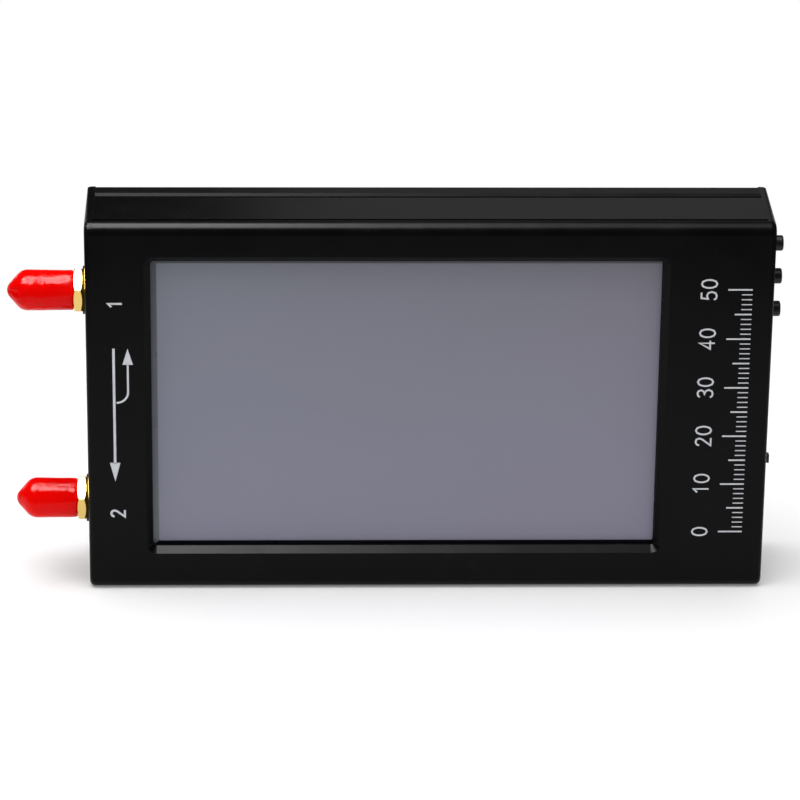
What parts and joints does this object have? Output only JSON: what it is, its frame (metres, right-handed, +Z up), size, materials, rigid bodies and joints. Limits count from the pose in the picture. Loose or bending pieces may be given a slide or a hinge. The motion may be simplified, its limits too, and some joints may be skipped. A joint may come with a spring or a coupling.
{
  "type": "antenna analyzer",
  "caption": "Handheld antenna analyzer: black aluminium case on its long edge, wide touch display, threaded coaxial ports under red dust caps, push buttons and a slide switch.",
  "frame": {"origin": "middle of the long edge that the case stands on, half way between its face and its back", "axes": "+X along the case from the coaxial ports to the buttons, +Y from the display to the back, +Z up"},
  "size_m": [0.1476, 0.022, 0.075],
  "materials": {
    "black_anodized": "satin black anodized",
    "black_screw_steel": "black",
    "black_foam": "matte foam",
    "touch_glass": "hard-coated, slightly frosted",
    "lcd_glass": "satin",
    "white_plastic": "gloss",
    "bright_steel": "bright",
    "amber_film": "gloss film",
    "board_green": "satin",
    "chip_black": "matte",
    "ferrite": "matte",
    "ivory_plastic": "satin",
    "lead_red": "satin",
    "lead_black": "satin",
    "pouch_foil": "dull foil",
    "paper_tape": "matte",
    "gold_brass": "gold plated",
    "dark_brass": "dull",
    "white_insulator": "satin",
    "red_vinyl": "semi-gloss",
    "button_black": "satin",
    "clear_plastic": "clear",
    "led_lens": "gloss"
  },
  "bodies": {
    "case": {"front_shell": "black_anodized", "rear_cover": "black_anodized", "left_end_plate": "black_anodized", "right_end_plate": "black_anodized", "left_end_screws": "black_screw_steel", "right_end_screws": "black_screw_steel", "window_gasket": "black_foam", "lcd_foam_strips": "black_foam", "touch_panel": "touch_glass", "lcd_glass": "lcd_glass", "lcd_backlight": "white_plastic", "lcd_frame": "bright_steel", "board_screws": "bright_steel", "shield_can_1": "bright_steel", "shield_can_2": "bright_steel", "reference_oscillator": "bright_steel", "slide_switch_body": "bright_steel", "charging_socket_shell": "bright_steel", "lcd_flex_cable": "amber_film", "touch_flex_cable": "amber_film", "battery_protection_strip": "amber_film", "main_board": "board_green", "receiver_chips": "chip_black", "controller_chip": "chip_black", "logic_chip": "chip_black", "memory_chip": "chip_black", "button_switch_1": "chip_black", "button_switch_2": "chip_black", "button_switch_3": "chip_black", "charging_socket_tongue": "chip_black", "power_inductors": "ferrite", "lcd_flex_connector": "ivory_plastic", "touch_flex_connector": "ivory_plastic", "battery_header": "ivory_plastic", "battery_plug": "ivory_plastic", "battery_lead_positive": "lead_red", "battery_lead_negative": "lead_black", "battery_pouch": "pouch_foil", "battery_tape": "paper_tape", "port_jack_1": "gold_brass", "port_jack_2": "gold_brass", "port_contact_1": "gold_brass", "port_contact_2": "gold_brass", "hex_nut_1": "gold_brass", "hex_nut_2": "gold_brass", "lock_washer_1": "dark_brass", "lock_washer_2": "dark_brass", "port_insulator_1": "white_insulator", "port_insulator_2": "white_insulator", "charge_light_window": "clear_plastic", "charge_led": "led_lens"},
    "menu_button_top": {"push_button_1": "button_black"},
    "menu_button_middle": {"push_button_2": "button_black"},
    "menu_button_bottom": {"push_button_3": "button_black"},
    "power_knob": {"slide_switch_knob": "button_black"},
    "cap_1": {"dust_cap_1": "red_vinyl"},
    "cap_2": {"dust_cap_2": "red_vinyl"}
  },
  "joints": [
    {"name": "top_button_press", "type": "slide", "parent": "case", "child": "menu_button_top", "axis": [-1, 0, 0], "range_m": [0, 0.0003], "stiffness_N_per_m": 2000, "springref_m": -0.0002},
    {"name": "middle_button_press", "type": "slide", "parent": "case", "child": "menu_button_middle", "axis": [-1, 0, 0], "range_m": [0, 0.0003], "stiffness_N_per_m": 2000, "springref_m": -0.0002},
    {"name": "bottom_button_press", "type": "slide", "parent": "case", "child": "menu_button_bottom", "axis": [-1, 0, 0], "range_m": [0, 0.0003], "stiffness_N_per_m": 2000, "springref_m": -0.0002},
    {"name": "power_knob_slide", "type": "slide", "parent": "case", "child": "power_knob", "axis": [0, 0, 1], "range_m": [0, 0.002]},
    {"name": "cap_1_pull", "type": "slide", "parent": "case", "child": "cap_1", "axis": [-1, 0, 0], "range_m": [0, 0.012]},
    {"name": "cap_2_pull", "type": "slide", "parent": "case", "child": "cap_2", "axis": [-1, 0, 0], "range_m": [0, 0.012]}
  ]
}
